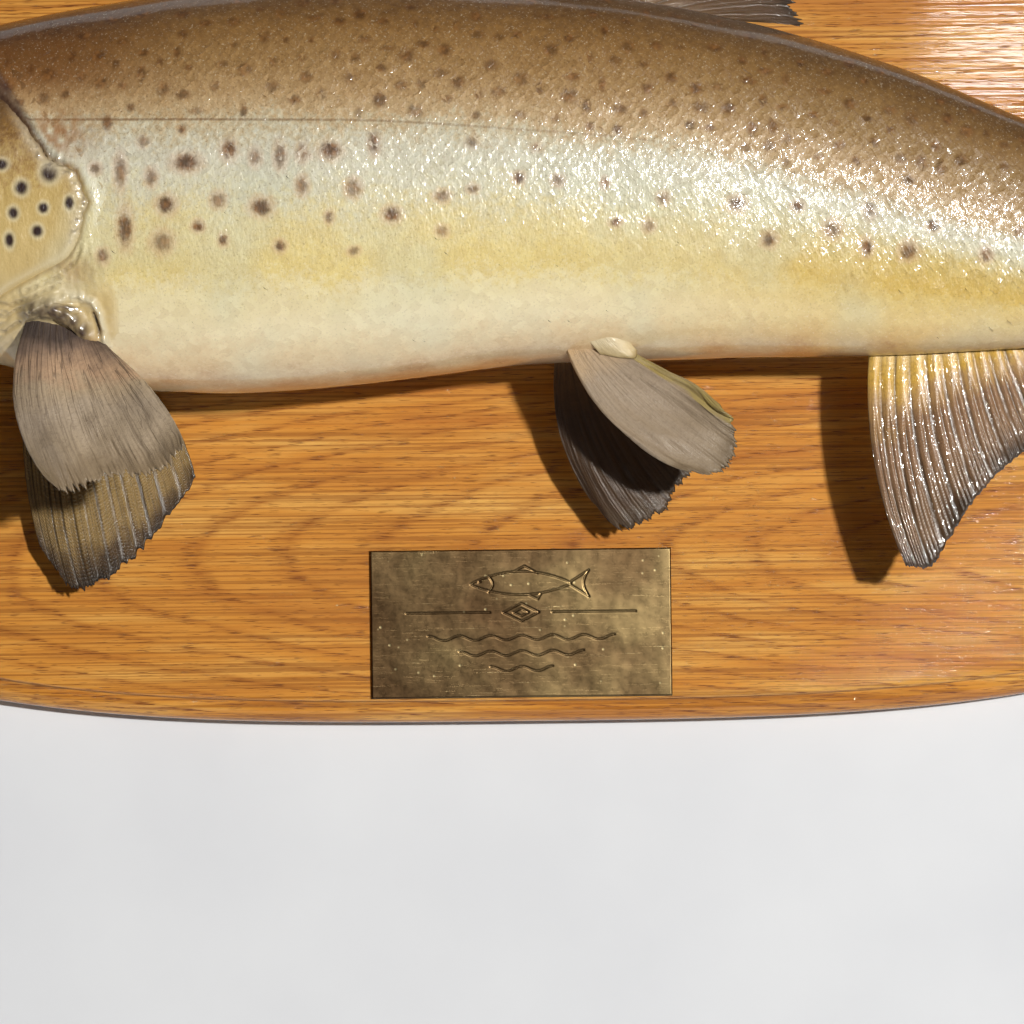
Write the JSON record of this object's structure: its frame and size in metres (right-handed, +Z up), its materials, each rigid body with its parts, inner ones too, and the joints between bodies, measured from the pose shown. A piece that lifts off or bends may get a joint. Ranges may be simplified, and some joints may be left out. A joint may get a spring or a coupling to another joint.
{
  "type": "mounted brown trout on an oak wall board",
  "caption": "Life-size cock brown trout, full-body mount, head to the left, on a moulded oval oak wall board with a blank brass plate.",
  "frame": {"origin": "centre of the board's flat back face, which lies on the wall", "axes": "+Z up; +Y into the wall, so the fish faces -Y; +X along the fish from head to tail, to the viewer's right"},
  "size_m": [0.776, 0.1404, 0.406],
  "materials": {
    "oak": "honey oak under gloss varnish",
    "brass": "tarnished and scratched sheet brass with a plain engraved border",
    "steel": "zinc plated strip",
    "skin": "scaled fish skin under gloss lacquer",
    "gill_cover": "smooth gill cover and jaw skin under gloss lacquer",
    "fin": "dried rayed fin under gloss lacquer",
    "eye": "glass eye, brass-gold iris and black pear-shaped pupil"
  },
  "bodies": {
    "root": {"board": "oak", "nameplate": "brass", "hanger": "steel", "head": "skin", "lower_jaw": "skin", "trunk_front": "skin", "trunk_middle": "skin", "trunk_rear": "skin", "tail_stalk": "skin", "operculum_left": "gill_cover", "operculum_right": "gill_cover", "maxilla_left": "gill_cover", "maxilla_right": "gill_cover", "eye_left": "eye", "eye_right": "eye", "dorsal_fin": "fin", "adipose_fin": "fin", "anal_fin": "fin", "caudal_fin": "fin", "pectoral_fin_left": "fin", "pectoral_fin_right": "fin", "pelvic_fin_left": "fin", "pelvic_fin_right": "fin", "pelvic_process_left": "skin", "pelvic_process_right": "skin"}
  },
  "joints": []
}
